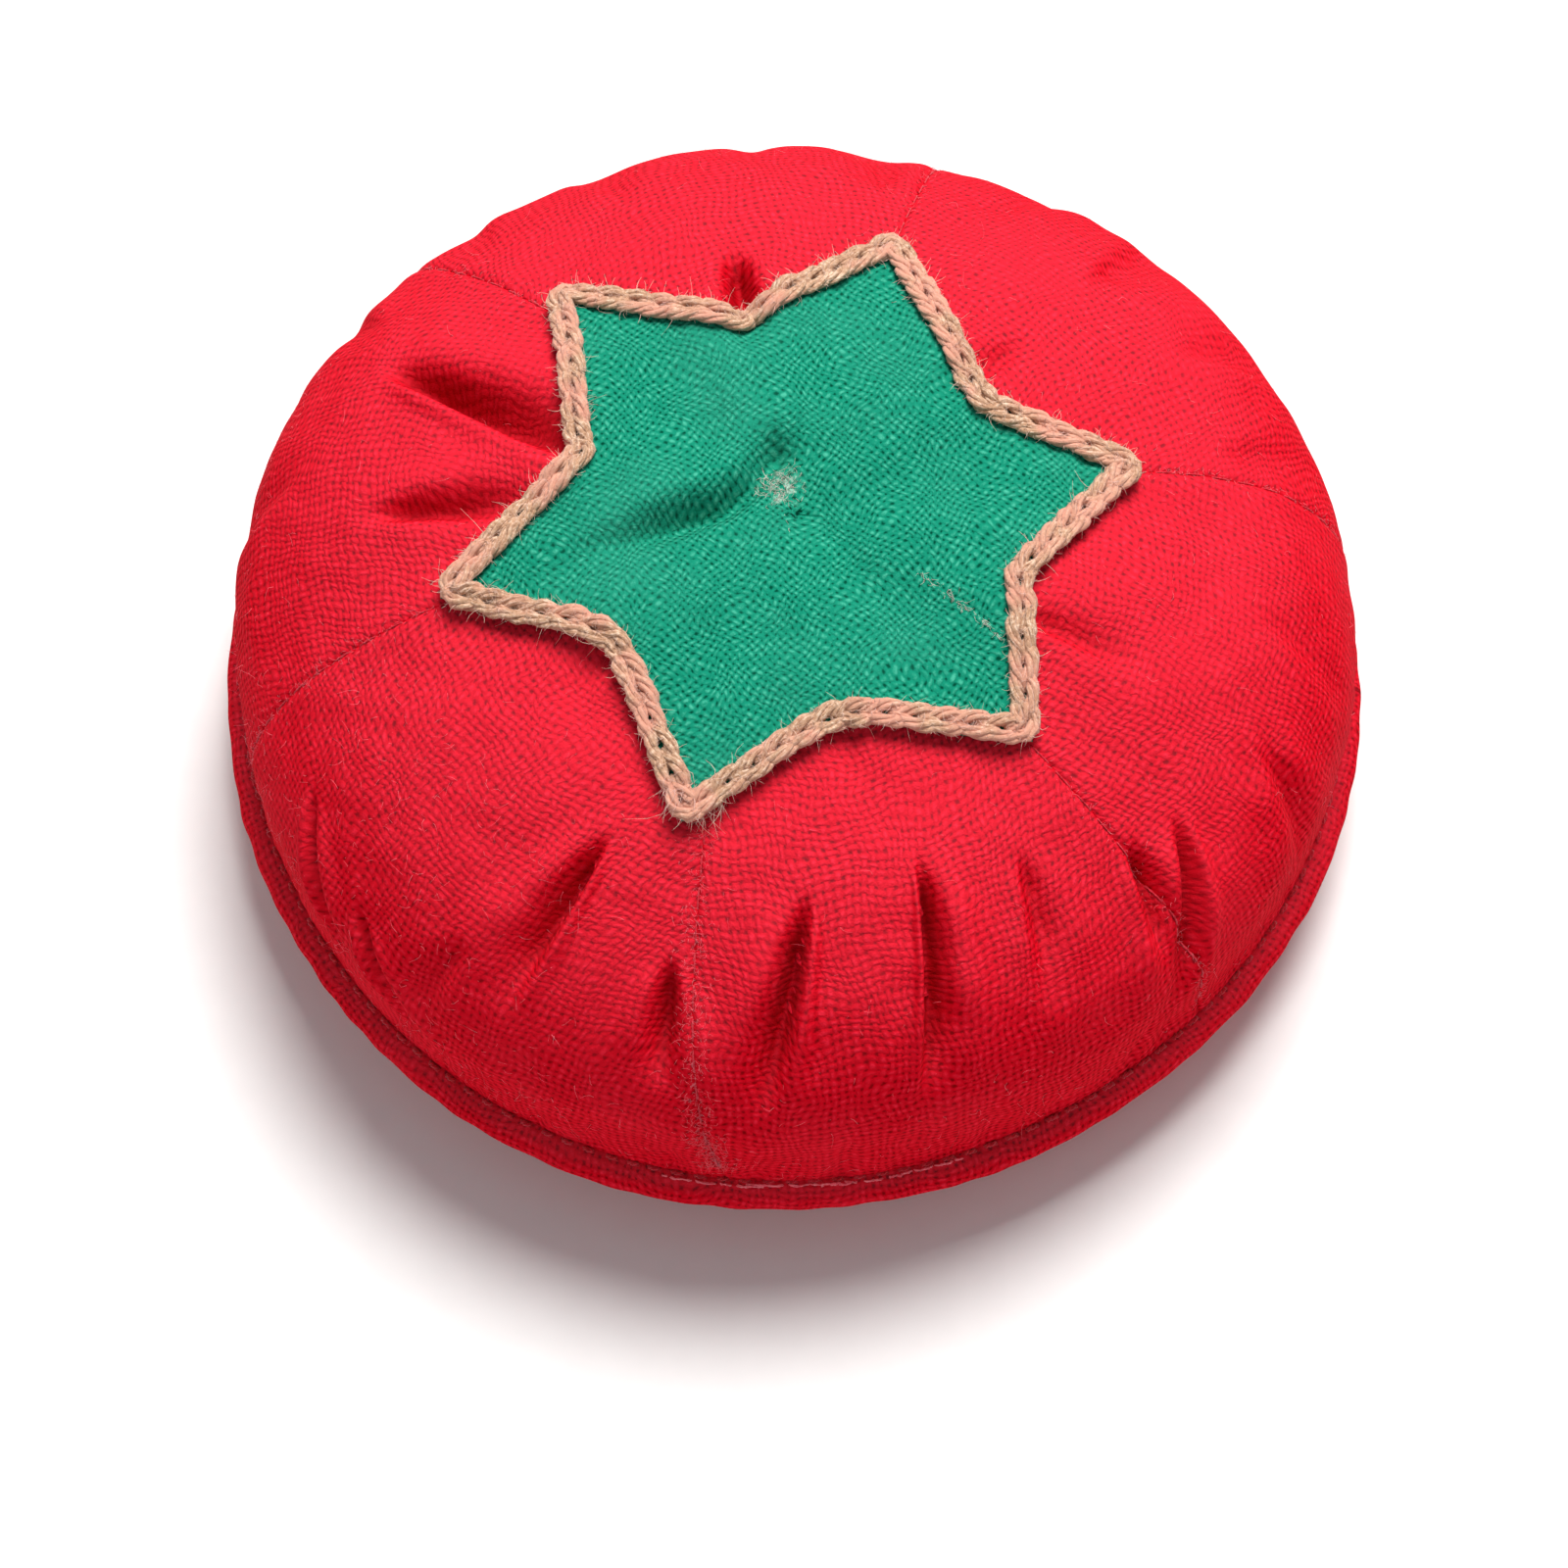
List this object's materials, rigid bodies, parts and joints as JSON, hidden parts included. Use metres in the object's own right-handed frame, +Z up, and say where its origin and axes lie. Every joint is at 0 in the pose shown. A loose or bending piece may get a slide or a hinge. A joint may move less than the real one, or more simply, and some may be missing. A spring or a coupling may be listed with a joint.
{
  "type": "wrist pin cushion",
  "caption": "Squat round stuffed pin cushion of gathered red cotton with a green star applique edged in braid, on an elastic wristband folded flat under its base.",
  "frame": {"origin": "middle of the underside, on the surface that the wristband lies on", "axes": "+Z up through the crown, +X along the folded wristband, -Y towards the viewer of the star"},
  "size_m": [0.07, 0.07, 0.0305],
  "materials": {
    "red_cotton": "plain-weave cotton, matte with lint",
    "green_cotton": "plain-weave cotton, matte, worn pale at the middle",
    "tan_braid": "fuzzy chain-stitched cotton yarn",
    "red_thread": "sewing thread",
    "pale_thread": "sewing thread",
    "filling": "packed fibre filling",
    "guard_board": "stiff pressed sheet, matte",
    "elastic": "ribbed knitted elastic"
  },
  "bodies": {
    "cushion": {"crown_gore_1": "red_cotton", "crown_gore_2": "red_cotton", "crown_gore_3": "red_cotton", "crown_gore_4": "red_cotton", "crown_gore_5": "red_cotton", "crown_gore_6": "red_cotton", "gore_seam_threads": "red_thread", "gather_thread": "red_thread", "stuffing": "filling", "star_applique": "green_cotton", "star_braid": "tan_braid", "centre_stitch": "pale_thread", "base_panel": "red_cotton", "base_board": "guard_board", "rim_stitches": "red_thread", "wristband_top": "elastic", "wristband_side_left": "elastic", "wristband_side_right": "elastic", "band_tack_stitches": "pale_thread", "band_join_stitches": "pale_thread"},
    "band_lower_run": {"wristband_bottom": "elastic"}
  },
  "joints": [
    {"name": "wristband_open", "type": "slide", "parent": "cushion", "child": "band_lower_run", "axis": [0, 0, -1], "range_m": [0, 0.042], "stiffness_N_per_m": 30, "deforming": ["wristband_side_left", "wristband_side_right"]}
  ]
}
